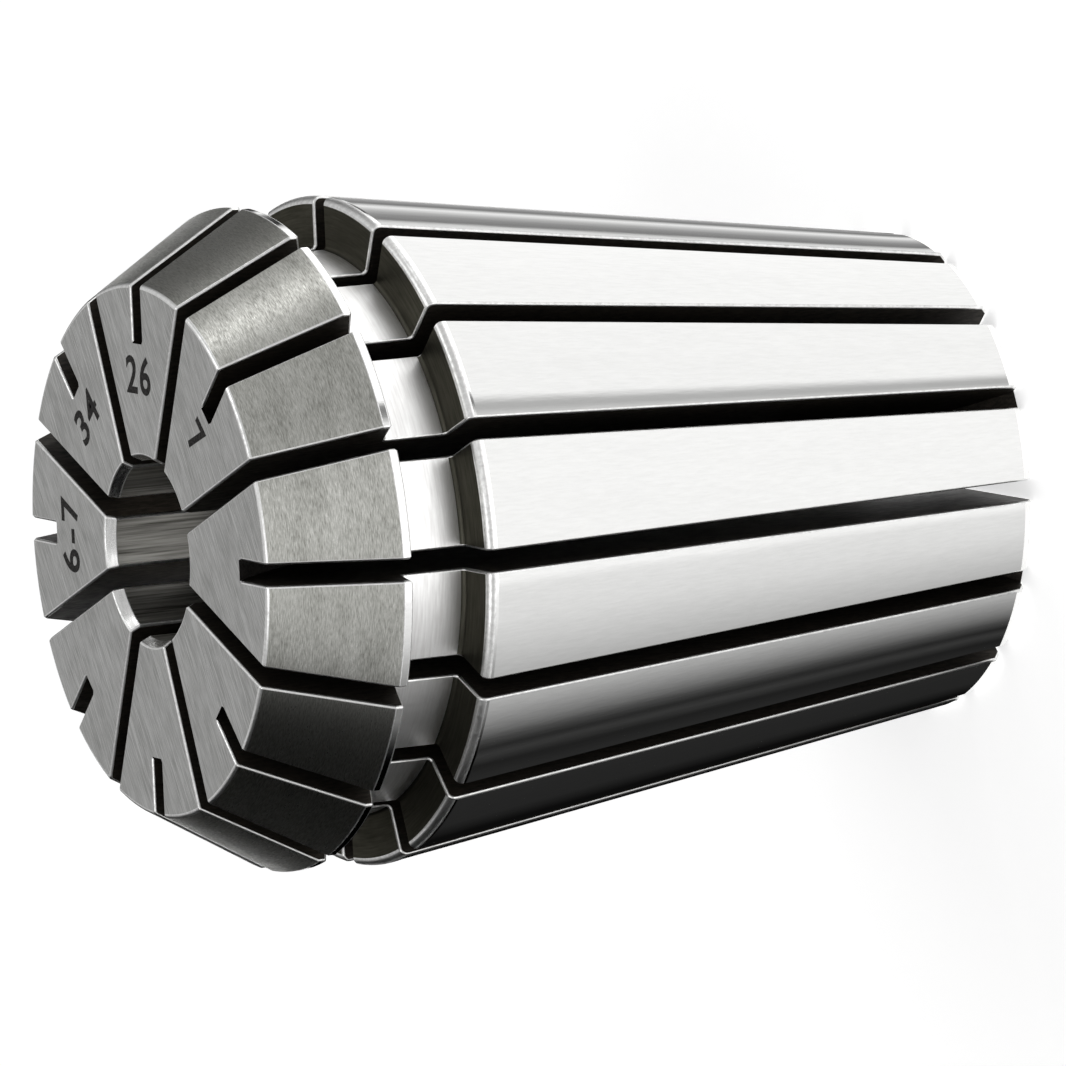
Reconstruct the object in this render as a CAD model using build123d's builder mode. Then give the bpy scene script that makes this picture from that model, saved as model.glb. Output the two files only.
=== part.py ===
"""Spring collet of the double-slotted kind, for a 7 mm shank.

One piece of hardened spring steel. It is turned and ground as a solid of revolution and then sawn by
sixteen radial slots, eight from each end, so that its sixteen jaws close evenly on the shank.

Millimetres. The axis is Z. The collet stands on its small rear end, centred on the origin, with the nose up.
"""

import os
from math import radians, sqrt, tan

from build123d import *

# --- Whole collet -------------------------------------------------------------------------------------
overall_length = 34.0
body_diameter = 26.0  # largest diameter, at the shoulder behind the groove
bore_diameter = 7.0

# --- Nose: the face and the cone that the clamping nut presses on -------------------------------------
nose_inset = 0.15  # how far the nose's largest radius stays inside the body's
nose_cone_angle = 30.0  # between the cone and the axis
nose_cone_length = 4.5  # along the axis
nose_land = 0.35  # narrow cylinder behind the cone
nose_back_angle = 15.0  # rake of the groove's front wall, which the nut's puller ring catches

# --- Groove between nose and body ---------------------------------------------------------------------
groove_depth = 2.0  # below the body's largest diameter
groove_fillet = 0.15

# --- Body: the taper that seats in the tool holder ----------------------------------------------------
shoulder_depth = 8.0  # from the nose face to the shoulder
shoulder_round = 0.3
body_land = 0.1  # cylinder left between the shoulder's round and the taper
body_taper_angle = 8.0  # between the taper and the axis

# --- Edges of the bore and of the rear end ------------------------------------------------------------
lead_in_depth = 0.4  # lead-in of the bore at the nose face, along the axis
lead_in_angle = 30.0  # between the lead-in and the axis
bore_rear_chamfer = 0.3
rear_chamfer = 0.3

# --- Sawn slots ---------------------------------------------------------------------------------------
slots_per_end = 8
slot_width = 0.8
saw_diameter = 40.0
saw_reach = 2.0  # closest that the saw's rim comes to the axis, inside the bore
front_web_radius = 8.0  # floor of the rear slots where they run out through the nose face
rear_web_radius = 8.8  # floor of the front slots where they run out through the rear face

# --- Worked out from the sizes above ------------------------------------------------------------------
bore_radius = bore_diameter / 2
body_radius = body_diameter / 2
groove_radius = body_radius - groove_depth
saw_radius = saw_diameter / 2
lead_in_radius = bore_radius + lead_in_depth * tan(radians(lead_in_angle))
lead_in_z = overall_length - lead_in_depth

cone_end_z = overall_length - nose_cone_length
nose_radius = body_radius - nose_inset
face_radius = nose_radius - nose_cone_length * tan(radians(nose_cone_angle))
land_end_z = cone_end_z - nose_land
groove_front_z = land_end_z - (nose_radius - groove_radius) * tan(radians(nose_back_angle))
shoulder_z = overall_length - shoulder_depth
taper_start_z = shoulder_z - shoulder_round - body_land
rear_radius = body_radius - taper_start_z * tan(radians(body_taper_angle))

slot_pitch = 360 / (2 * slots_per_end)
slot_overrun = 1.0  # how far a slot's cutting tool passes the ends and the outside
match_tolerance = 1e-6  # two radii that differ by less than this are the same


def collet_blank():
    """The turned blank: half of its lengthwise section, revolved about the axis."""
    with BuildPart() as blank:
        with BuildSketch(Plane.XZ) as section:
            with BuildLine():
                Polyline(
                    (bore_radius, 0),
                    (rear_radius, 0),
                    (body_radius, taper_start_z),
                    (body_radius, shoulder_z),
                    (groove_radius, shoulder_z),
                    (groove_radius, groove_front_z),
                    (nose_radius, land_end_z),
                    (nose_radius, cone_end_z),
                    (face_radius, overall_length),
                    (lead_in_radius, overall_length),
                    (bore_radius, lead_in_z),
                    close=True,
                )
            make_face()
            fillet(corners_at(section, groove_radius), groove_fillet)
            fillet(corners_at(section, body_radius)[-1], shoulder_round)
            chamfer(corners_at(section, rear_radius), rear_chamfer)
            chamfer(corners_at(section, bore_radius)[0], bore_rear_chamfer)
        revolve(axis=Axis.Z)
    return blank.part


def corners_at(section, radius):
    """The corners that a section now has at one radius from the axis, rear end first."""
    corners = section.vertices().filter_by(lambda corner: abs(corner.X - radius) < match_tolerance)
    return corners.sort_by(Axis.Y)


def slot_tool(web_radius):
    """What the saw removes in one slot that is cut from the nose end.

    The floor of the slot runs along inside the bore, then rises on the arc of the saw's rim until it is
    web_radius from the axis where it runs out through the far end. What is left below the arc is the web
    that holds two neighbouring jaws together.
    """
    saw_axis_radius = saw_reach + saw_radius
    saw_axis_z = sqrt(saw_radius**2 - (saw_axis_radius - web_radius) ** 2)
    # The arc goes on past the far end, to the depth of the overrun.
    exit_z = -slot_overrun
    exit_radius = saw_axis_radius - sqrt(saw_radius**2 - (saw_axis_z - exit_z) ** 2)
    arc_middle_z = (saw_axis_z + exit_z) / 2
    arc_middle_radius = saw_axis_radius - sqrt(saw_radius**2 - (saw_axis_z - arc_middle_z) ** 2)
    outside_radius = body_radius + slot_overrun
    entry_z = overall_length + slot_overrun

    with BuildPart() as tool:
        with BuildSketch(Plane.XZ):
            with BuildLine():
                ThreePointArc(
                    (saw_reach, saw_axis_z),
                    (arc_middle_radius, arc_middle_z),
                    (exit_radius, exit_z),
                )
                Polyline(
                    (exit_radius, exit_z),
                    (outside_radius, exit_z),
                    (outside_radius, entry_z),
                    (saw_reach, entry_z),
                    (saw_reach, saw_axis_z),
                )
            make_face()
        extrude(amount=slot_width / 2, both=True)
    return tool.part


def rear_slot_tool(web_radius):
    """The same cut made from the rear end: a front slot's tool, turned end for end."""
    front_tool = slot_tool(web_radius)
    with BuildPart() as tool:
        mirror(front_tool, about=Plane.XY.offset(overall_length / 2))
    return tool.part


blank_part = collet_blank()
front_slot = slot_tool(rear_web_radius)
rear_slot = rear_slot_tool(front_web_radius)

with BuildPart() as collet:
    add(blank_part)
    with PolarLocations(0, slots_per_end):
        add(front_slot, mode=Mode.SUBTRACT)
    with PolarLocations(0, slots_per_end, start_angle=slot_pitch):
        add(rear_slot, mode=Mode.SUBTRACT)

collet.part.label = "collet"

os.makedirs("parts", exist_ok=True)
export_step(collet.part, "parts/collet.step")

print(f"face radius {face_radius:.3f}, rear radius {rear_radius:.3f}, groove front z {groove_front_z:.3f}")
print(f"volume {collet.part.volume:.1f} mm3, solids {len(collet.part.solids())}, faces {len(collet.part.faces())}")
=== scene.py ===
from itertools import product
from math import asin, atan2, cos, hypot, pi, radians, sin, sqrt, tan

import bpy
from mathutils import Matrix, Vector


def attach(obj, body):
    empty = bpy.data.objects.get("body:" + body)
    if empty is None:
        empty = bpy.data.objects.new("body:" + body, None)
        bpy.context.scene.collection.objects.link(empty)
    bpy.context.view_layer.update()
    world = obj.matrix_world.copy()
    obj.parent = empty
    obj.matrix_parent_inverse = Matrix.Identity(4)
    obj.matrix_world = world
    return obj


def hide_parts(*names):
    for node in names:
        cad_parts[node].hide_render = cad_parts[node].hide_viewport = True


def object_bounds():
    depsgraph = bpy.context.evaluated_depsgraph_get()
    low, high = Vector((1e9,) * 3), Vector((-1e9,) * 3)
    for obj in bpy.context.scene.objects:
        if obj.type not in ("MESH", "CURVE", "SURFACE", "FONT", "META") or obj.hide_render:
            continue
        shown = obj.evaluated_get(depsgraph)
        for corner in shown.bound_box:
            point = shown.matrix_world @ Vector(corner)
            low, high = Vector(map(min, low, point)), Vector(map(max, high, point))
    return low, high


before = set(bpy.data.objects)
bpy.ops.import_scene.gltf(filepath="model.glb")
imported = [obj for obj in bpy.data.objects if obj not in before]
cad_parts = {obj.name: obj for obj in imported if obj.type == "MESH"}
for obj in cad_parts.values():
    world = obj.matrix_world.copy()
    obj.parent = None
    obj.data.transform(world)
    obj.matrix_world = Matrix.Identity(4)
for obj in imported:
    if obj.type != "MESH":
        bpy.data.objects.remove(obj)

cad_low, cad_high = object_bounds()

# ======================================================================================================
# Collet
# One bar of spring steel, turned and ground all over, then sawn by sixteen radial slots, eight from each
# end. Every slot runs the whole length at the outside and leaves a web by the bore at its far end.
# ======================================================================================================
mm = 0.001
length = (cad_high.z - cad_low.z) / mm
slot_half_width = 0.4
body_radius = hypot(cad_high.x / mm, slot_half_width)  # a slot cuts away the point furthest out along X
bore_radius = 3.5

# The nose: its face, the cone that the clamping nut presses on, and a narrow land behind the cone.
nose_inset = 0.15
nose_cone_length = 4.5
nose_cone_angle = radians(30)
nose_land = 0.35
nose_radius = body_radius - nose_inset
cone_end = length - nose_cone_length
land_end = cone_end - nose_land
face_radius = nose_radius - nose_cone_length * tan(nose_cone_angle)

# The groove: its front wall leans, so that the nut's ring can pull the collet out of the holder.
shoulder_depth = 8.0
shoulder_round = 0.3
groove_depth = 2.0
groove_front_lean = radians(15)
groove_fillet = 0.15
shoulder = length - shoulder_depth
groove_radius = body_radius - groove_depth
groove_front = land_end - (nose_radius - groove_radius) * tan(groove_front_lean)

# The taper that seats in the holder, below a short stretch of full diameter.
body_land = 0.1
taper_angle = radians(8)
taper_blend = 0.5
taper_start = shoulder - shoulder_round - body_land
rear_radius = body_radius - taper_start * tan(taper_angle)
rear_chamfer = 0.3

# The bore's lead-in at the nose.
lead_in_depth = 0.4
lead_in_angle = radians(30)
lead_in_radius = bore_radius + lead_in_depth * tan(lead_in_angle)

# The saw cut: its round floor, and how far from the axis it runs out through the far end.
saw_radius = 20.0
saw_axis = 22.0
rear_run_out = 8.8
nose_run_out = 8.0

edge_break = 0.1  # the edges are stoned, just enough to take the burr off
corner_round = 0.1
face_edge_round = 0.2
slots_per_end = 8
slot_pitch = pi / slots_per_end


def saw_centre(run_out):
    """How far inside its end a saw's axis lies when the floor runs out there at this distance."""
    return sqrt(saw_radius**2 - (saw_axis - run_out) ** 2)


def floor_depth(run_out, across):
    """How far inside its end a slot's floor breaks into the bore, at a distance from the slot's middle."""
    bore_there = sqrt(bore_radius**2 - across**2)
    return saw_centre(run_out) - sqrt(saw_radius**2 - (saw_axis - bore_there) ** 2)


rear_web_end = floor_depth(rear_run_out, slot_half_width)
nose_web_end = length - floor_depth(nose_run_out, slot_half_width)
fade = 0.14  # the broken edge of a slot dies out over this length where the slot's floor begins

# Corners of the lengthwise section: radius, height, rounding, and the finish up to the next corner. Four of
# them are where a slot's floor begins and ends.
rear_run_out_radius = hypot(rear_run_out, slot_half_width)
nose_run_out_radius = hypot(nose_run_out, slot_half_width)
rear_run_out_corner = (rear_run_out_radius, 0, 0, "rear")
nose_run_out_corner = (nose_run_out_radius, length, 0, "face")
nose_web_corner = (bore_radius, nose_web_end, 0, "bore")
rear_web_corner = (bore_radius, rear_web_end, 0, "bore")
chamfer_out = rear_chamfer * sin(taper_angle)
chamfer_up = rear_chamfer * cos(taper_angle)
section_corners = [
    rear_run_out_corner,
    (rear_run_out_radius + fade, 0, 0, "rear"),
    (rear_radius - rear_chamfer, 0, corner_round, "polished"),
    (rear_radius + chamfer_out, chamfer_up, corner_round, "polished"),
    (body_radius, taper_start, taper_blend, "polished"),
    (body_radius, shoulder, shoulder_round, "shoulder"),
    (groove_radius, shoulder, groove_fillet, "groove"),
    (groove_radius, groove_front, groove_fillet, "groove"),
    (nose_radius, land_end, corner_round, "polished"),
    (nose_radius, cone_end, corner_round, "cone"),
    (face_radius, length, face_edge_round, "face"),
    (nose_run_out_radius + fade, length, 0, "face"),
    nose_run_out_corner,
    (lead_in_radius, length, corner_round, "lead_in"),
    (bore_radius, length - lead_in_depth, corner_round, "bore"),
    nose_web_corner,
    (bore_radius, nose_web_end - fade, 0, "bore"),
    (bore_radius, rear_web_end + fade, 0, "bore"),
    rear_web_corner,
    (bore_radius, rear_chamfer, corner_round, "broken_edge"),
    (bore_radius + rear_chamfer, 0, corner_round, "rear"),
]

row_turn = radians(10.2)  # not ten, so that no corner's turn falls halfway between two numbers of rows
slight_bend = radians(20)


def rounded(corners):
    """Walks round a closed section and gives its rows: place, outward direction and finish.

    A row is where one ring of the turned surface's corners lies. A rounded corner gets a row for about
    every ten degrees of its turn. An outer edge is stoned, a slight bend stays polished, and an inner
    corner looks like the side before it. The second list gives the first row of each corner.
    """
    rows = []
    first_rows = []
    for here, corner in enumerate(corners):
        before = Vector(corners[here - 1][:2])
        place = Vector(corner[:2])
        after = Vector(corners[(here + 1) % len(corners)][:2])
        way_in = (place - before).normalized()
        way_out = (after - place).normalized()
        turn = way_in.angle_signed(way_out) * -1
        outward = Vector((way_in.y, -way_in.x))
        rounding = corner[2]
        side = 1 if turn > 0 else -1
        start = place - way_in * rounding * tan(abs(turn) / 2)
        centre = start - outward * rounding * side
        steps = max(2, round(abs(turn) / row_turn)) if rounding else 0
        first_rows.append(len(rows))
        for step in range(steps + 1):
            facing = Matrix.Rotation(turn * step / steps if steps else 0, 2) @ outward
            spot = centre + facing * rounding * side
            if step == steps:
                finish = corner[3]
            elif side < 0:
                finish = corners[here - 1][3]
            else:
                finish = "polished" if turn < slight_bend else "broken_edge"
            rows.append((spot.x, spot.y, facing, finish))
    return rows, first_rows


rows, first_rows = rounded(section_corners)
rear_out_row = first_rows[section_corners.index(rear_run_out_corner)]
nose_out_row = first_rows[section_corners.index(nose_run_out_corner)]
nose_web_row = first_rows[section_corners.index(nose_web_corner)]
rear_web_row = first_rows[section_corners.index(rear_web_corner)]


class Slot:
    """One of the sixteen saw cuts: where it is, and which rows of the section it is open in."""

    def __init__(self, number):
        self.angle = number * slot_pitch
        self.web_at_rear = number % 2 == 0
        self.run_out = rear_run_out if self.web_at_rear else nose_run_out
        first, last = (rear_out_row, rear_web_row) if self.web_at_rear else (nose_web_row, nose_out_row)
        count = (last - first) % len(rows)
        self.open_rows = [(first + step) % len(rows) for step in range(count + 1)]
        self.web_rows = [(last + step) % len(rows) for step in range(len(rows) - count + 1)]
        self.ends = (self.open_rows[0], self.open_rows[-1])

    def broken_edge(self, row):
        """How wide the broken edge is at a row: nothing at the web and at both ends of the cut."""
        return edge_break if row in self.open_rows and row not in self.ends else 0

    def placed(self, out, across, height):
        """A place or a direction, given outwards along the slot, across it and up the axis."""
        x = out * cos(self.angle) - across * sin(self.angle)
        y = out * sin(self.angle) + across * cos(self.angle)
        return Vector((x, y, height))

    def from_web_end(self, depth):
        """The height of a place that lies this deep inside the end where the slot has its web."""
        return depth if self.web_at_rear else length - depth


slots = [Slot(number) for number in range(2 * slots_per_end)]

same_place = 0.0001  # places closer together than this, in millimetres, are one corner
points = []
point_numbers = {}
faces = []
corner_facings = []
face_finishes = []


def corner_number(place):
    """The number of the corner at a place, which is a new one if no corner lies there yet.

    A corner is known by the eight crossings of a fine lattice round it. Places that differ only in their
    last digits always share a crossing, so the skin closes.
    """
    lower = [int(value // same_place) for value in place]
    crossings = list(product(*((at, at + 1) for at in lower)))
    for crossing in crossings:
        if crossing in point_numbers:
            return point_numbers[crossing]
    number = len(points)
    points.append(place * mm)
    point_numbers.update(dict.fromkeys(crossings, number))
    return number


def add_face(corners, finish):
    """Adds one face, given as places and the directions that the surface faces there.

    Places that coincide become one corner. The face is turned to look outwards.
    """
    numbers = []
    facings = []
    for place, facing in corners:
        number = corner_number(place)
        if number not in numbers:
            numbers.append(number)
            facings.append(facing)
    if len(numbers) < 3:
        return
    spin = Vector((0, 0, 0))
    for here, number in enumerate(numbers):
        spin += points[numbers[here - 1]].cross(points[number])
    if spin.dot(sum(facings, Vector((0, 0, 0)))) < 0:
        numbers.reverse()
        facings.reverse()
    faces.append(numbers)
    corner_facings.extend(facings)
    face_finishes.append(finish)


def add_strip(near, far, finish):
    """Adds the faces between two lines of corners that have as many corners each."""
    for here in range(len(near) - 1):
        add_face([near[here], near[here + 1], far[here + 1], far[here]], finish)


def turned_corner(angle, row):
    """The corner of the turned surface at an angle round the axis."""
    radius, height, facing, _ = rows[row]
    place = Vector((radius * cos(angle), radius * sin(angle), height))
    return place, Vector((facing.x * cos(angle), facing.x * sin(angle), facing.y))


def slot_edge_angle(slot, row, side):
    """Where the turned surface stops beside a slot."""
    return slot.angle + side * asin((slot_half_width + slot.broken_edge(row)) / rows[row][0])


# The turned surface of the sixteen sectors, between one slot and the next.
sector_steps = 16
for number, slot in enumerate(slots):
    next_slot = slots[(number + 1) % len(slots)]
    lines = []
    for row in range(len(rows)):
        start = slot_edge_angle(slot, row, 1)
        end = slot_edge_angle(next_slot, row, -1) + (2 * pi if next_slot.angle < slot.angle else 0)
        angles = [start + (end - start) * step / sector_steps for step in range(sector_steps + 1)]
        lines.append([turned_corner(angle, row) for angle in angles])
    for row in range(len(rows)):
        add_strip(lines[row], lines[(row + 1) % len(rows)], rows[row][3])

# The webs: the turned surface goes on across the slots there.
across_steps = 6
across_places = [slot_half_width * (2 * step / across_steps - 1) for step in range(across_steps + 1)]
floor_steps = 24


def floor_line(slot, across):
    """The corners along a slot's floor at one distance from its middle, from its end to the bore."""
    centre = saw_centre(slot.run_out)
    depth = floor_depth(slot.run_out, across)
    first = atan2(centre, saw_axis - slot.run_out)
    last = atan2(centre - depth, saw_axis - sqrt(bore_radius**2 - across**2))
    line = []
    for step in range(floor_steps + 1):
        lean = first + (last - first) * step / floor_steps
        out = saw_axis - saw_radius * cos(lean)
        height = slot.from_web_end(centre - saw_radius * sin(lean))
        tilt = sin(lean) if slot.web_at_rear else -sin(lean)
        line.append((slot.placed(out, across, height), slot.placed(cos(lean), 0, tilt)))
    return line


for slot in slots:
    floor = [floor_line(slot, across) for across in across_places]
    for near, far in zip(floor, floor[1:]):
        add_strip(near, far, "sawn")

    run_out_row = slot.web_rows[-1] if slot.web_at_rear else slot.web_rows[0]
    bore_row = slot.web_rows[0] if slot.web_at_rear else slot.web_rows[-1]
    web_lines = []
    for row in slot.web_rows:
        line = []
        for column, across in enumerate(across_places):
            place, facing = turned_corner(slot.angle + asin(across / rows[row][0]), row)
            if row == run_out_row:
                place = floor[column][0][0]
            if row == bore_row:
                place = floor[column][-1][0]
            line.append((place, facing))
        web_lines.append(line)
    for row, near, far in zip(slot.web_rows, web_lines, web_lines[1:]):
        add_strip(near, far, rows[row][3])

    # The two walls that the saw left, and their broken edges.
    for side in (-1, 1):
        wall_facing = slot.placed(0, -side, 0)
        surface_line = []
        wall_line = []
        for row in slot.open_rows:
            radius, height, facing, _ = rows[row]
            surface_line.append(turned_corner(slot_edge_angle(slot, row, side), row))
            width = slot.broken_edge(row)
            out = sqrt((radius - width * facing.x) ** 2 - slot_half_width**2)
            place = slot.placed(out, side * slot_half_width, height - width * facing.y)
            wall_line.append((place, wall_facing))
        add_strip(surface_line, wall_line, "broken_edge")
        floor_edge = [(place, wall_facing) for place, _ in floor[0 if side < 0 else -1]]
        back_along_floor = floor_edge[-2:0:-1] if slot.web_at_rear else floor_edge[1:-1]
        add_face(wall_line + back_along_floor, "sawn")

collet_mesh = bpy.data.meshes.new("ground_collet")
collet_mesh.from_pydata(points, [], faces)
collet_mesh.polygons.foreach_set("use_smooth", [True] * len(faces))
collet_mesh.normals_split_custom_set(corner_facings)


def add_node(tree, kind, sockets=None, **settings):
    """Adds one node. Each named socket gets a value, or is joined to another node's output."""
    node = tree.nodes.new("ShaderNode" + kind)
    for name, value in settings.items():
        setattr(node, name, value)
    for name, value in (sockets or {}).items():
        if isinstance(value, bpy.types.NodeSocket):
            tree.links.new(value, node.inputs[name])
        else:
            node.inputs[name].default_value = value
    return node


def reckon(tree, operation, first, second=0.0, clamp=False):
    """What one sum of two values or outputs comes to."""
    return add_node(tree, "Math", {0: first, 1: second}, operation=operation, use_clamp=clamp).outputs[0]


def measured_in(tree, place, size):
    """A place counted in grains of a size that is given for each direction."""
    return add_node(tree, "VectorMath", {0: place, 1: size}, operation="DIVIDE").outputs[0]


def new_group(name, inputs, outputs):
    """A shader node group with named inputs and outputs; gives the tree, its inputs and its output node."""
    tree = bpy.data.node_groups.new(name, "ShaderNodeTree")
    for socket, kind in inputs.items():
        tree.interface.new_socket(name=socket, in_out="INPUT", socket_type="NodeSocket" + kind)
    for socket, kind in outputs.items():
        tree.interface.new_socket(name=socket, in_out="OUTPUT", socket_type="NodeSocket" + kind)
    return tree, tree.nodes.new("NodeGroupInput").outputs, tree.nodes.new("NodeGroupOutput").inputs


# Where a spot lies on the collet, in millimetres, laid out three ways for the marks that tools leave.
places, _, out = new_group("tool_paths", {},
                           {"Turned": "Vector", "Lengthwise": "Vector", "Straight": "Vector"})
object_place = add_node(places, "TexCoord").outputs["Object"]
in_mm = add_node(places, "VectorMath", {0: object_place, "Scale": 1 / mm}, operation="SCALE").outputs[0]
spot = add_node(places, "SeparateXYZ", {0: in_mm}).outputs
x_squared = reckon(places, "POWER", spot[0], 2.0)
y_squared = reckon(places, "POWER", spot[1], 2.0)
from_axis = reckon(places, "SQRT", reckon(places, "ADD", x_squared, y_squared))
along_section = reckon(places, "SUBTRACT", spot[2], from_axis)
turned = add_node(places, "CombineXYZ", {0: along_section, 1: spot[0], 2: spot[1]}).outputs[0]
face_grind_angle = radians(35)
straight = add_node(places, "VectorRotate", {"Vector": in_mm, "Angle": face_grind_angle},
                    rotation_type="Z_AXIS").outputs[0]
places.links.new(turned, out["Turned"])
places.links.new(in_mm, out["Lengthwise"])
places.links.new(straight, out["Straight"])

# Fine marks from a grinding wheel, lapped over each other, and the uneven patches that they make.
marks, given, out = new_group("grinding_marks", {"Place": "Vector", "Grain": "Vector", "Patch": "Vector"},
                              {"Marks": "Float", "Patches": "Float"})
grain_place = measured_in(marks, given["Place"], given["Grain"])
fine = add_node(marks, "TexNoise", {"Vector": grain_place, "Scale": 1.0, "Detail": 3.0, "Roughness": 0.62})
marks.links.new(fine.outputs["Fac"], out["Marks"])
patch_place = measured_in(marks, given["Place"], given["Patch"])
patchy = add_node(marks, "TexNoise", {"Vector": patch_place, "Scale": 1.0, "Detail": 4.0, "Roughness": 0.6})
marks.links.new(patchy.outputs["Fac"], out["Patches"])

# Long single scratches: the highest crests of a noise that is drawn out thin.
scratch_sharpness = 25.0
scratching, given, out = new_group("long_scratches",
                                   {"Place": "Vector", "Grain": "Vector", "Fewness": "Float"},
                                   {"Scratches": "Float"})
scratch_place = measured_in(scratching, given["Place"], given["Grain"])
crests = add_node(scratching, "TexNoise", {"Vector": scratch_place, "Scale": 1.0, "Detail": 0.0})
above = reckon(scratching, "SUBTRACT", crests.outputs["Fac"], given["Fewness"])
scratch = reckon(scratching, "MULTIPLY", above, scratch_sharpness, clamp=True)
scratching.links.new(scratch, out["Scratches"])

mark_share = 0.7  # of a surface's look; the patches make the rest
dullest = 0.36  # what the mixed noise comes to at the dullest spots, and at the brightest
brightest = 0.64


def ground_steel(name, path, marks_are, patches_are, colours, roughness, metal=1.0, scratches_are=None,
                 drawn_out=0.0, grazing=1.0):
    """Steel with the marks of one tool: colour, roughness and relief all follow the marks.

    Marks and patches are given as their size in millimetres in the path's three directions, then their
    depth. Scratches are given as their size, how few there are and how bright. Colours and roughness run
    from the dull spots to the bright ones; for the shoulder, the bore and the sawn walls they are also
    darkened as painted shade. Turned marks draw a highlight out across themselves, and grazing is how
    much of its shine the surface keeps when seen at a low angle.
    """
    steel = bpy.data.materials.new(name)
    steel.use_nodes = True
    tree = steel.node_tree
    shader = tree.nodes["Principled BSDF"]
    shader.inputs["Metallic"].default_value = metal
    shader.inputs["Specular Tint"].default_value = (grazing, grazing, grazing, 1)
    if drawn_out:
        shader.inputs["Anisotropic"].default_value = drawn_out
        shader.inputs["Anisotropic Rotation"].default_value = 0.25
        round_axis = add_node(tree, "Tangent", direction_type="RADIAL", axis="Z")
        tree.links.new(round_axis.outputs[0], shader.inputs["Tangent"])

    place = add_node(tree, "Group", node_tree=places).outputs[path]
    mark_size, mark_depth = marks_are
    patch_size, patch_depth = patches_are
    mark = add_node(tree, "Group", node_tree=marks)
    tree.links.new(place, mark.inputs["Place"])
    mark.inputs["Grain"].default_value = mark_size
    mark.inputs["Patch"].default_value = patch_size
    wear = mark.outputs["Marks"]
    patches = mark.outputs["Patches"]
    if scratches_are:
        scratch_size, fewness, brightness = scratches_are
        scratches = add_node(tree, "Group", node_tree=scratching)
        tree.links.new(place, scratches.inputs["Place"])
        scratches.inputs["Grain"].default_value = scratch_size
        scratches.inputs["Fewness"].default_value = fewness
        wear = reckon(tree, "ADD", wear, reckon(tree, "MULTIPLY", scratches.outputs[0], brightness))

    marks_part = reckon(tree, "MULTIPLY", wear, mark_share)
    patches_part = reckon(tree, "MULTIPLY", patches, 1 - mark_share)
    mixed = reckon(tree, "ADD", marks_part, patches_part)
    spread = add_node(tree, "MapRange", {0: mixed, 1: dullest, 2: brightest, 3: 0.0, 4: 1.0}).outputs[0]
    dull, bright = colours
    colour = add_node(tree, "Mix", {"Factor": spread, "A": (*dull, 1), "B": (*bright, 1)}, data_type="RGBA")
    tree.links.new(colour.outputs["Result"], shader.inputs["Base Color"])
    rough, smooth = roughness
    roughened = add_node(tree, "MapRange", {0: spread, 1: 0.0, 2: 1.0, 3: rough, 4: smooth}).outputs[0]
    tree.links.new(roughened, shader.inputs["Roughness"])
    mark_relief = reckon(tree, "MULTIPLY", wear, mark_depth * mm)
    patch_relief = reckon(tree, "MULTIPLY", patches, patch_depth * mm)
    height = reckon(tree, "ADD", mark_relief, patch_relief)
    relief = add_node(tree, "Bump", {"Strength": 1.0, "Distance": 1.0, "Height": height})
    tree.links.new(relief.outputs[0], shader.inputs["Normal"])
    return steel


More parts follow.
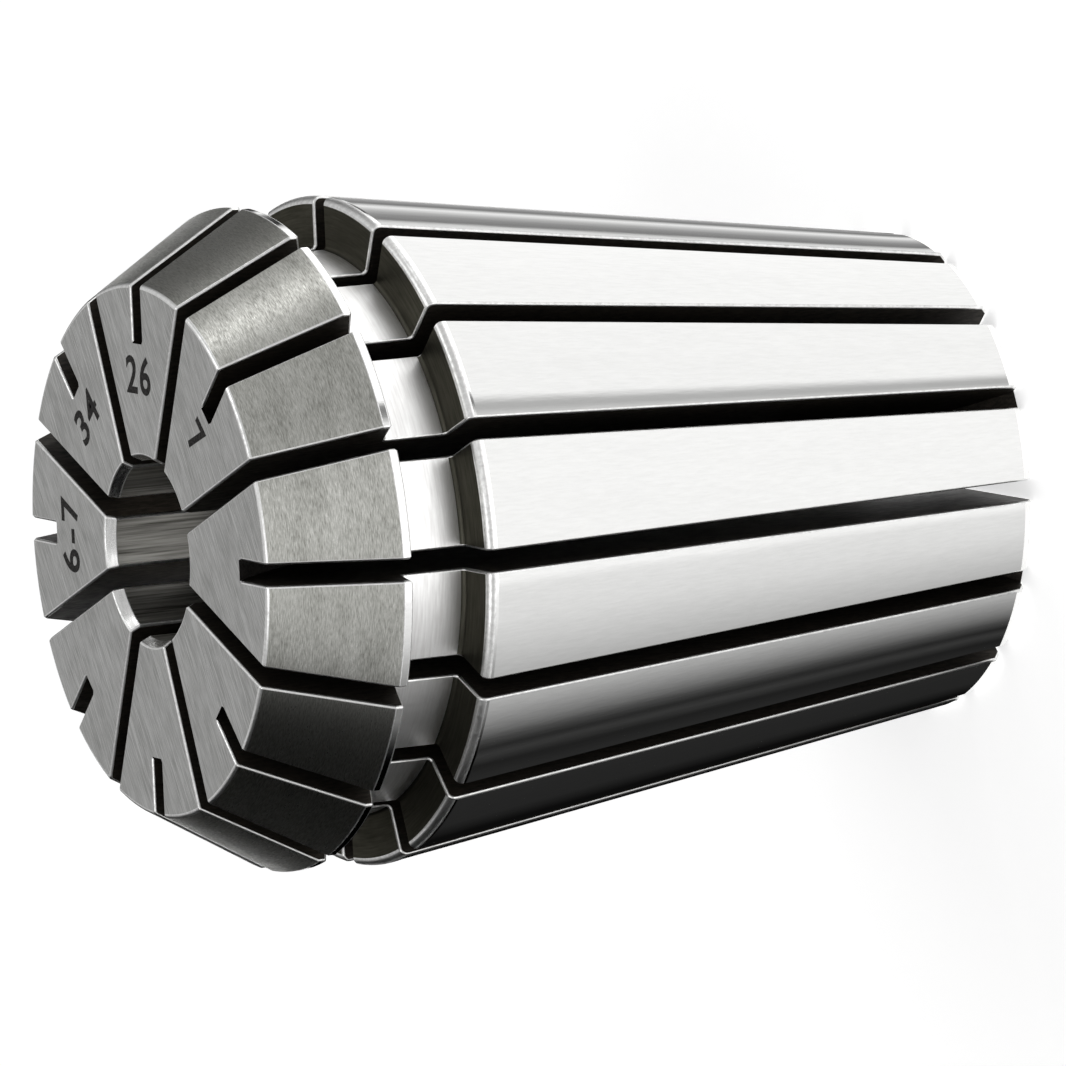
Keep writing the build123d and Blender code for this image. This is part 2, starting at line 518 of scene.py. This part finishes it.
finishes = {
    "polished": ground_steel("polished_taper", "Lengthwise",
                             marks_are=((0.12, 0.12, 4.0), 0.00015), patches_are=((0.9, 0.9, 16.0), 0.003),
                             colours=((0.81, 0.81, 0.80), (0.86, 0.86, 0.85)), roughness=(0.08, 0.05)),
    "groove": ground_steel("turned_groove", "Turned",
                           marks_are=((0.1, 1.5, 1.5), 0.0003), patches_are=((1.2, 1.6, 1.6), 0.003),
                           colours=((0.80, 0.79, 0.78), (0.96, 0.96, 0.95)), roughness=(0.44, 0.34)),
    # Painted shade: the shoulder's wall at the bottom of the groove is painted near black, with its turned
    # marks on top.
    "shoulder": ground_steel("turned_shoulder_painted_shade", "Turned",
                             marks_are=((0.08, 1.5, 1.5), 0.0006), patches_are=((1.0, 1.6, 1.6), 0.0),
                             colours=((0.06, 0.058, 0.046), (0.10, 0.096, 0.078)), roughness=(0.50, 0.40),
                             grazing=0.4),
    "cone": ground_steel("ground_cone", "Turned",
                         marks_are=((0.055, 0.28, 0.28), 0.004), patches_are=((1.4, 3.0, 3.0), 0.0),
                         colours=((0.28, 0.28, 0.255), (0.64, 0.64, 0.605)), roughness=(0.38, 0.27),
                         drawn_out=0.6),
    "face": ground_steel("ground_face", "Straight",
                         marks_are=((0.05, 0.9, 0.9), 0.0025), patches_are=((1.2, 2.2, 2.2), 0.0),
                         colours=((0.35, 0.35, 0.34), (0.58, 0.58, 0.57)), roughness=(0.42, 0.28),
                         scratches_are=((0.045, 3.5, 3.5), 0.66, 1.2)),
    "rear": ground_steel("ground_rear", "Turned",
                         marks_are=((0.06, 1.5, 1.5), 0.003), patches_are=((1.2, 3.0, 3.0), 0.0),
                         colours=((0.34, 0.34, 0.33), (0.66, 0.66, 0.65)), roughness=(0.38, 0.27)),
    # Painted shade: the bore is painted much darker than honed steel; its lengthwise honing streaks lie on
    # top.
    "bore": ground_steel("honed_bore_painted_shade", "Lengthwise",
                         marks_are=((0.12, 0.12, 5.0), 0.002), patches_are=((0.5, 0.5, 7.0), 0.01),
                         colours=((0.06, 0.057, 0.048), (0.44, 0.43, 0.40)), roughness=(0.5, 0.3),
                         metal=0.85),
    "lead_in": ground_steel("turned_lead_in", "Turned",
                            marks_are=((0.06, 0.8, 0.8), 0.001), patches_are=((1.0, 1.5, 1.5), 0.0),
                            colours=((0.72, 0.72, 0.71), (0.96, 0.96, 0.95)), roughness=(0.30, 0.18)),
    # The sawn walls are near black: partly the dark tint of the hardening, partly painted shade in the
    # narrow slots.
    "sawn": ground_steel("sawn_wall_tint_and_painted_shade", "Lengthwise",
                         marks_are=((0.12, 0.12, 0.5), 0.001), patches_are=((0.8, 0.8, 1.5), 0.0),
                         colours=((0.010, 0.009, 0.007), (0.045, 0.037, 0.029)), roughness=(0.6, 0.45),
                         metal=0.7),
    "broken_edge": ground_steel("stoned_edge", "Lengthwise",
                                marks_are=((0.2, 0.2, 0.2), 0.004), patches_are=((1.5, 1.5, 1.5), 0.0),
                                colours=((0.70, 0.70, 0.69), (0.96, 0.96, 0.95)), roughness=(0.45, 0.28)),
}
finish_names = list(finishes)
for steel in finishes.values():
    collet_mesh.materials.append(steel)
collet_mesh.polygons.foreach_set("material_index", [finish_names.index(name) for name in face_finishes])
collet = bpy.data.objects.new("ground_collet", collet_mesh)
bpy.context.scene.collection.objects.link(collet)
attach(collet, "root")
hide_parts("collet")

# ======================================================================================================
# Size marks
# Plain numbers burnt into the nose face by a laser, just inside the short slots: the bore, the largest
# diameter, the length and the clamping range in millimetres. They are dark oxide, level with the face, and
# their tops point outwards.
# ======================================================================================================
mark_height = 1.4
mark_depth = 0.03
mark_stand = 0.004  # the oxide swells this much above the face
digit_share = 0.7  # how much of the type size a digit's height is
mark_radius = 6.1
mark_boldness = 0.04  # the laser swells each stroke by this much on both sides
mark_spacing = 1.15
mark_curve_steps = 6  # enough to look round, and the widened outline of the 3 still closes
speckle_scale = 9000.0
speckle_from = 0.45
speckle_contrast = 4.0

oxide = bpy.data.materials.new("burnt_oxide")
oxide.use_nodes = True
tree = oxide.node_tree
shader = tree.nodes["Principled BSDF"]
shader.inputs["Specular IOR Level"].default_value = 0.2
shader.inputs["Roughness"].default_value = 0.7
place = add_node(tree, "TexCoord").outputs["Object"]
speckle = add_node(tree, "TexNoise", {"Vector": place, "Scale": speckle_scale, "Detail": 2.0}).outputs["Fac"]
raised = reckon(tree, "SUBTRACT", speckle, speckle_from)
greyed = reckon(tree, "MULTIPLY", raised, speckle_contrast, clamp=True)
soot = (0.01, 0.009, 0.009, 1)
grey_oxide = (0.05, 0.047, 0.044, 1)
burnt = add_node(tree, "Mix", {"Factor": greyed, "A": soot, "B": grey_oxide}, data_type="RGBA")
tree.links.new(burnt.outputs["Result"], shader.inputs["Base Color"])

# Each text, and the angle round the collet where it stands.
size_texts = [("7", -22.5), ("26", 22.5), ("34", 67.5), ("6-7", 112.5)]
for number, (text, angle) in enumerate(size_texts):
    lettering = bpy.data.curves.new("size_text", "FONT")
    lettering.body = text
    lettering.size = mark_height / digit_share * mm
    lettering.align_x = "CENTER"
    lettering.extrude = mark_depth / 2 * mm
    lettering.offset = mark_boldness * mm
    lettering.space_character = mark_spacing
    lettering.resolution_u = mark_curve_steps
    text_object = bpy.data.objects.new("size_text", lettering)
    bpy.context.scene.collection.objects.link(text_object)
    bpy.context.view_layer.update()
    text_shape = text_object.evaluated_get(bpy.context.evaluated_depsgraph_get())
    mark_mesh = bpy.data.meshes.new_from_object(text_shape)
    bpy.data.objects.remove(text_object)
    bpy.data.curves.remove(lettering)
    middle = (length + mark_stand - mark_depth / 2) * mm
    turn = Matrix.Rotation(radians(angle - 90), 4, "Z")
    mark_mesh.transform(turn @ Matrix.Translation((0, mark_radius * mm, middle)))
    mark_mesh.materials.clear()
    mark_mesh.materials.append(oxide)
    size_mark = bpy.data.objects.new(f"size_mark_{number + 1}", mark_mesh)
    bpy.context.scene.collection.objects.link(size_mark)
    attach(size_mark, "root")

# ======================================================================================================
# Floor
# A plain white sheet that the collet stands on, wide enough to fill every view. Part of its white is a
# glow, so it looks white to the eye and in the steel, and still keeps the collet's soft shadow.
# ======================================================================================================
floor_reach = 2.0
floor_mesh = bpy.data.meshes.new("studio_floor")
floor_corners = [(side_x * floor_reach, side_y * floor_reach, 0)
                 for side_x, side_y in ((-1, -1), (1, -1), (1, 1), (-1, 1))]
floor_mesh.from_pydata(floor_corners, [], [(0, 1, 2, 3)])
studio_floor = bpy.data.objects.new("studio_floor", floor_mesh)
bpy.context.scene.collection.objects.link(studio_floor)
sheet = bpy.data.materials.new("white_sheet")
sheet.use_nodes = True
tree = sheet.node_tree
shader = tree.nodes["Principled BSDF"]
shader.inputs["Base Color"].default_value = (0.85, 0.85, 0.85, 1)
shader.inputs["Roughness"].default_value = 0.8
shader.inputs["Specular IOR Level"].default_value = 0.0
shader.inputs["Emission Color"].default_value = (1, 1, 1, 1)
glow_to_eye = 0.64
glow_in_steel = 0.8
path = add_node(tree, "LightPath").outputs
seen_by_eye = reckon(tree, "MULTIPLY", path["Is Camera Ray"], glow_to_eye)
mirrored = reckon(tree, "MAXIMUM", path["Is Glossy Ray"], path["Is Transmission Ray"])
seen_in_steel = reckon(tree, "MULTIPLY", mirrored, glow_in_steel)
glow = reckon(tree, "ADD", seen_by_eye, seen_in_steel)
tree.links.new(glow, shader.inputs["Emission Strength"])
floor_mesh.materials.append(sheet)

# ======================================================================================================
# Camera
# A long lens, 0.43 m off, that looks down on the nose from in front. It is rolled by almost a quarter turn,
# so the collet stands on the floor and lies on its side in the picture.
# ======================================================================================================
camera_place = Vector((190.738, -326.438, 213.053)) * mm
looks_along = Vector((-0.4498, 0.7657, -0.4597))
picture_right = Vector((0.1394, -0.4482, -0.8830))
camera_data = bpy.data.cameras.new("camera")
camera_data.sensor_width = 36
camera_data.lens = 368.47
camera_data.clip_start = 0.01
camera = bpy.data.objects.new("camera", camera_data)
forward = looks_along.normalized()
up = picture_right.cross(forward).normalized()
right = forward.cross(up).normalized()
turn = Matrix((right, up, -forward)).transposed().to_4x4()
camera.matrix_world = Matrix.Translation(camera_place) @ turn
bpy.context.scene.collection.objects.link(camera)
bpy.context.scene.camera = camera

# ======================================================================================================
# Light
# Four soft lamps in a pale room, and a narrow spot that reaches into the bore. Bright steel shows what
# stands round it, so a toned sheet lies round the foot of the collet and two cards stand further out. They
# glow and only the steel's reflections see them: they are painted reflections, not lamps.
# ======================================================================================================
room_light = 0.55
room_light_on_dull = 0.25
world = bpy.data.worlds.new("studio")
bpy.context.scene.world = world
world.use_nodes = True
background = world.node_tree.nodes["Background"]
background.inputs["Color"].default_value = (1, 1, 1, 1)
on_dull = add_node(world.node_tree, "LightPath").outputs["Is Diffuse Ray"]
room = add_node(world.node_tree, "MapRange", {0: on_dull, 3: room_light, 4: room_light_on_dull}).outputs[0]
world.node_tree.links.new(room, background.inputs["Strength"])

lamp_target = Vector((0, 0, 0.03))


def way_towards(azimuth, elevation):
    """The direction of a place seen from the collet, from its angle round it and above the floor."""
    flat = cos(radians(elevation))
    return Vector((cos(radians(azimuth)) * flat, sin(radians(azimuth)) * flat, sin(radians(elevation))))


def add_softbox(name, azimuth, elevation, distance, width, height, glow):
    """A soft lamp that looks at the collet; glow is how bright its face is, where 1 is white."""
    lamp = bpy.data.lights.new(name, "AREA")
    lamp.shape = "RECTANGLE"
    lamp.size = width
    lamp.size_y = height
    lamp.energy = glow * pi * width * height
    away = way_towards(azimuth, elevation)
    box = bpy.data.objects.new(name, lamp)
    box.location = lamp_target + away * distance
    box.rotation_euler = away.to_track_quat("Z", "Y").to_euler()
    box.visible_camera = False
    bpy.context.scene.collection.objects.link(box)


add_softbox("upper_softbox", azimuth=33, elevation=17, distance=0.5, width=0.07, height=0.16, glow=2.2)
add_softbox("front_softbox", azimuth=-45, elevation=34, distance=0.8, width=0.4, height=0.3, glow=0.5)
add_softbox("top_softbox", azimuth=-85, elevation=60, distance=0.6, width=0.3, height=0.25, glow=2.4)
add_softbox("rim_softbox", azimuth=60, elevation=60, distance=0.6, width=0.3, height=0.25, glow=2.0)

# The spot lights only the far wall of the bore, just inside its mouth.
lit_place = Vector((-1.3, 3.2, 32)) * mm
lit_radius = 1.35 * mm
spot_distance = 0.3
beam = bpy.data.lights.new("bore_spot", "SPOT")
beam.energy = 12.5
beam.spot_size = 2 * atan2(lit_radius, spot_distance)
beam.spot_blend = 1.0
beam.shadow_soft_size = 0.0004
bore_spot = bpy.data.objects.new("bore_spot", beam)
spot_way = way_towards(azimuth=-62, elevation=40)
bore_spot.location = lit_place + spot_way * spot_distance
bore_spot.rotation_euler = spot_way.to_track_quat("Z", "Y").to_euler()
bore_spot.visible_glossy = False
bpy.context.scene.collection.objects.link(bore_spot)

# The sheet and the cards are of one glowing material, no lamp, which glows by the tone at each of its
# corners and so paints reflections into the steel.
painted_reflection_glow = bpy.data.materials.new("painted_reflection_glow")
painted_reflection_glow.use_nodes = True
tree = painted_reflection_glow.node_tree
tree.nodes.remove(tree.nodes["Principled BSDF"])
tone = add_node(tree, "Attribute", attribute_name="tone").outputs["Fac"]
glow = add_node(tree, "Emission", {"Strength": tone})
tree.links.new(glow.outputs[0], tree.nodes["Material Output"].inputs["Surface"])


def add_painted_reflection(name, corners, faces, tones):
    """A glowing piece, toned at its corners, that nothing but the steel's reflections can see: a painted
    reflection.
    """
    mesh = bpy.data.meshes.new(name)
    mesh.from_pydata(corners, [], faces)
    mesh.attributes.new("tone", "FLOAT", "POINT").data.foreach_set("value", tones)
    mesh.materials.append(painted_reflection_glow)
    reflection_screen = bpy.data.objects.new(name, mesh)
    bpy.context.scene.collection.objects.link(reflection_screen)
    reflection_screen.visible_camera = False
    reflection_screen.visible_diffuse = False
    reflection_screen.visible_shadow = False


# The sheet is white with a grey and a black end. It glows, and only the steel's reflections see it, so its
# tones are painted reflections. Its tones lie in rays, one for each line along the taper, and each ray ends
# where that line mirrors the camera's look. Here are its tones by the angle in degrees round the collet.
sheet_height = 0.3
sheet_tones = [(-160, 0.004), (-130, 0.004), (-124, 0.02), (-110, 0.024), (-107, 0.015), (-104.6, 0.045),
               (-103, 0.02), (-101, 0.07), (-93, 0.48), (-88, 0.5), (-78, 0.82), (-72.5, 0.9), (-71, 1.08),
               (-45, 1.1), (-43, 0.82), (-41.3, 0.5), (-40.5, 0.52), (-38.8, 1.06), (0, 1.12), (2.6, 0.95),
               (4.4, 0.72), (5.4, 0.22), (8, 0.32), (10, 0.5), (12.8, 0.95), (15.6, 0.2), (21, 0.45),
               (23, 1.1), (45, 1.1)]
sheet_step = 0.25
sheet_run = 100
# Beyond what the taper mirrors, only the groove and the cone see the sheet, and there it has more contrast.
far_brightness = 1.45
far_contrast = 2.6
# Where a ray begins, where its near tone ends, and where its far tone begins. Its mirrored look lands at 1.
ray_start = 0.01
near_end = 1.1
far_start = 1.3


def tone_at(around):
    """The sheet's tone at an angle round the collet, between the two given tones beside it."""
    for (first, first_tone), (last, last_tone) in zip(sheet_tones, sheet_tones[1:]):
        if around <= last:
            break
    return first_tone + (last_tone - first_tone) * (around - first) / (last - first)


sheet_corners = []
corner_tones = []
sheet_start = sheet_tones[0][0]
sheet_end = sheet_tones[-1][0]
for step in range(round((sheet_end - sheet_start) / sheet_step) + 1):
    around = sheet_start + step * sheet_step
    outward = way_towards(around, 0)
    facing = outward * cos(taper_angle) - Vector((0, 0, sin(taper_angle)))
    mirrored = 2 * facing.dot(-forward) * facing + forward
    landing = outward * body_radius + mirrored * (taper_start / -mirrored.z)
    foot = outward * rear_radius
    run = Vector((landing.x - foot.x, landing.y - foot.y, 0))
    near_tone = tone_at(around)
    far_tone = far_brightness * near_tone**far_contrast
    far_end = sheet_run / run.length
    near_strip = [(ray_start, near_tone), (near_end, near_tone)]
    far_strip = [(far_start, far_tone), (far_end, far_tone)]
    for out, tone in near_strip + far_strip:
        sheet_corners.append((foot + run * out + Vector((0, 0, sheet_height))) * mm)
        corner_tones.append(tone)
sheet_faces = []
for at in range(0, len(sheet_corners) - 4, 4):
    sheet_faces += [(at + out, at + out + 1, at + out + 5, at + out + 4) for out in range(3)]
add_painted_reflection("toned_reflection_sheet", sheet_corners, sheet_faces, corner_tones)

card_distance = 0.12


def add_reflection_card(name, tone, outline):
    """A glowing card of one tone, bent round the collet, that only the steel's reflections see: it paints
    its tone as a reflection.

    Its outline gives, at angles round the collet, how high the card stands in metres.
    """
    corners = []
    for azimuth, height in outline:
        foot = way_towards(azimuth, 0) * card_distance
        corners += [foot, foot + Vector((0, 0, height))]
    faces = [(2 * at, 2 * at + 1, 2 * at + 3, 2 * at + 2) for at in range(len(outline) - 1)]
    add_painted_reflection(name, corners, faces, [tone] * len(corners))


add_reflection_card("black_reflection_card", tone=0.005,
         outline=[(-115, 0.2), (-135, 0.25), (-155, 0.25), (-175, 0.22), (-195, 0.15), (-210, 0.08),
                  (-225, 0.05), (-245, 0.04), (-260, 0.03)])
add_reflection_card("grey_reflection_card", tone=0.1,
         outline=[(48, 0.03), (55, 0.05), (70, 0.06), (92, 0.06), (100, 0.05), (114, 0.03)])

bpy.context.scene.view_settings.view_transform = "Standard"
